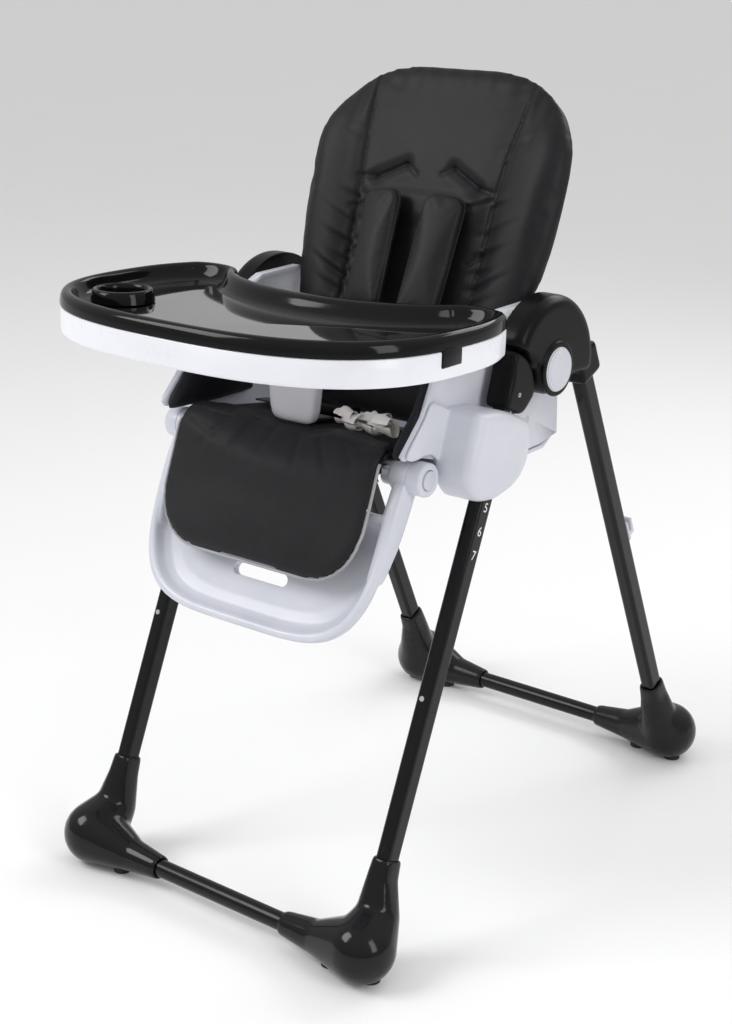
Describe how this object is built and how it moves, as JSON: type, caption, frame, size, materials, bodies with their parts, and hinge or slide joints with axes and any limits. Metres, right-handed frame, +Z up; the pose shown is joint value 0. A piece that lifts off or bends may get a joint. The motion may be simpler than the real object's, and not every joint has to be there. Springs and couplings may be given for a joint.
{
  "type": "baby high chair",
  "caption": "Folding baby high chair with a padded reclining seat that slides to several heights, a swinging footrest and a tray with a lift-off insert.",
  "frame": {"origin": "on the floor under the middle of the chair's bounding box", "axes": "+Z up, +Y towards the backrest, -Y the way the child faces, +X to the right of someone facing the tray"},
  "size_m": [0.576, 0.9057, 1.0874],
  "materials": {
    "tube": "glossy black powder coat",
    "boot": "glossy black",
    "rear_boot": "satin black",
    "hub": "satin black",
    "rubber": "matt",
    "steel": "plated",
    "white": "satin white",
    "tray_white": "satin white",
    "tray_black": "high gloss black",
    "grey": "satin grey",
    "button": "satin light grey",
    "lock": "natural nylon",
    "upholstery": "charcoal faux leather",
    "webbing": "woven black",
    "label": "white satin ribbon"
  },
  "bodies": {
    "front_frame": {"front_leg_upper_left": "tube", "front_leg_upper_right": "tube", "front_leg_lower_left": "tube", "front_leg_lower_right": "tube", "front_floor_tube": "tube", "front_boot_left": "boot", "front_boot_right": "boot", "front_foot_pads": "rubber", "hub_socket_left": "hub", "hub_socket_right": "hub", "hub_bolt_left": "steel", "hub_bolt_right": "steel", "front_frame_screws": "steel"},
    "rear_frame": {"rear_leg_upper_left": "tube", "rear_leg_upper_right": "tube", "rear_leg_lower_left": "tube", "rear_leg_lower_right": "tube", "rear_floor_tube": "tube", "rear_boot_left": "rear_boot", "rear_boot_right": "rear_boot", "rear_foot_pads": "rubber", "hub_cover_left": "hub", "hub_cover_right": "hub", "rear_frame_screws": "steel", "tray_hooks": "button"},
    "hub_button_left": {"hub_button_left": "button", "hub_lock_left": "lock"},
    "hub_button_right": {"hub_button_right": "button", "hub_lock_right": "lock"},
    "front_snap_left": {"front_snap_button_left": "steel"},
    "front_snap_right": {"front_snap_button_right": "steel"},
    "rear_snap_left": {"rear_snap_button_left": "steel"},
    "rear_snap_right": {"rear_snap_button_right": "steel"},
    "seat": {"seat_shell": "white", "side_housing_left": "white", "side_housing_right": "white", "seat_pins": "steel", "seat_screws": "steel", "seat_pad": "upholstery", "waist_straps": "webbing", "harness_buckle": "hub", "care_labels": "label"},
    "height_lever_left": {"height_lever_left": "grey"},
    "height_lever_right": {"height_lever_right": "grey"},
    "backrest": {"backrest_shell": "white", "back_pad": "upholstery", "shoulder_pad_left": "upholstery", "shoulder_pad_right": "upholstery", "shoulder_straps": "webbing"},
    "recline_lever": {"recline_lever": "grey"},
    "footrest": {"footrest_frame": "white", "calf_pad": "upholstery"},
    "footrest_button_left": {"footrest_button_left": "button"},
    "footrest_button_right": {"footrest_button_right": "button"},
    "tray": {"tray_body": "tray_white", "crotch_post": "grey"},
    "tray_insert": {"tray_insert": "tray_black"},
    "tray_latch_left": {"tray_latch_left": "grey"},
    "tray_latch_right": {"tray_latch_right": "grey"}
  },
  "joints": [
    {"name": "frame_fold", "type": "hinge", "parent": "front_frame", "child": "rear_frame", "pos_m": [0, 0.02, 0.72], "axis": [-1, 0, 0], "range_deg": [0, 45]},
    {"name": "hub_button_left_press", "type": "slide", "parent": "rear_frame", "child": "hub_button_left", "axis": [1, 0, 0], "range_m": [0, 0.004], "stiffness_N_per_m": 900, "springref_m": -0.003},
    {"name": "hub_button_right_press", "type": "slide", "parent": "rear_frame", "child": "hub_button_right", "axis": [-1, 0, 0], "range_m": [0, 0.004], "stiffness_N_per_m": 900, "springref_m": -0.003},
    {"name": "front_snap_left_press", "type": "slide", "parent": "front_frame", "child": "front_snap_left", "axis": [0, 0.9114, -0.4115], "range_m": [0, 0.003], "stiffness_N_per_m": 600, "springref_m": -0.003},
    {"name": "rear_snap_left_press", "type": "slide", "parent": "rear_frame", "child": "rear_snap_left", "axis": [-1, 0, 0], "range_m": [0, 0.003], "stiffness_N_per_m": 600, "springref_m": -0.003},
    {"name": "front_snap_right_press", "type": "slide", "parent": "front_frame", "child": "front_snap_right", "axis": [0, 0.9114, -0.4115], "range_m": [0, 0.003], "stiffness_N_per_m": 600, "springref_m": -0.003},
    {"name": "rear_snap_right_press", "type": "slide", "parent": "rear_frame", "child": "rear_snap_right", "axis": [1, 0, 0], "range_m": [0, 0.003], "stiffness_N_per_m": 600, "springref_m": -0.003},
    {"name": "seat_height", "type": "slide", "parent": "front_frame", "child": "seat", "axis": [0, 0.4115, 0.9114], "range_m": [-0.186, 0]},
    {"name": "backrest_recline", "type": "hinge", "parent": "seat", "child": "backrest", "pos_m": [0, 0.03, 0.64], "axis": [-1, 0, 0], "range_deg": [-14, 26]},
    {"name": "recline_lever_squeeze", "type": "slide", "parent": "backrest", "child": "recline_lever", "axis": [0, 0.3322, 0.9432], "range_m": [0, 0.006], "stiffness_N_per_m": 500, "springref_m": -0.004},
    {"name": "footrest_swing", "type": "hinge", "parent": "seat", "child": "footrest", "pos_m": [0, -0.208, 0.619], "axis": [-1, 0, 0], "range_deg": [-24, 62]},
    {"name": "footrest_button_left_press", "type": "slide", "parent": "footrest", "child": "footrest_button_left", "axis": [1, 0, 0], "range_m": [0, 0.004], "stiffness_N_per_m": 600, "springref_m": -0.003},
    {"name": "footrest_button_right_press", "type": "slide", "parent": "footrest", "child": "footrest_button_right", "axis": [-1, 0, 0], "range_m": [0, 0.004], "stiffness_N_per_m": 600, "springref_m": -0.003},
    {"name": "height_lever_left_pull", "type": "slide", "parent": "seat", "child": "height_lever_left", "axis": [0, 0.9114, -0.4115], "range_m": [0, 0.006], "stiffness_N_per_m": 500, "springref_m": -0.004},
    {"name": "height_lever_right_pull", "type": "slide", "parent": "seat", "child": "height_lever_right", "axis": [0, 0.9114, -0.4115], "range_m": [0, 0.006], "stiffness_N_per_m": 500, "springref_m": -0.004},
    {"name": "tray_slide", "type": "slide", "parent": "seat", "child": "tray", "axis": [0, -1, 0], "range_m": [0, 0.04]},
    {"name": "tray_insert_lift", "type": "slide", "parent": "tray", "child": "tray_insert", "axis": [0, 0, 1], "range_m": [0, 0.15]},
    {"name": "tray_latch_left_squeeze", "type": "slide", "parent": "tray", "child": "tray_latch_left", "axis": [1, 0, 0], "range_m": [0, 0.006], "stiffness_N_per_m": 400, "springref_m": -0.004},
    {"name": "tray_latch_right_squeeze", "type": "slide", "parent": "tray", "child": "tray_latch_right", "axis": [-1, 0, 0], "range_m": [0, 0.006], "stiffness_N_per_m": 400, "springref_m": -0.004}
  ]
}
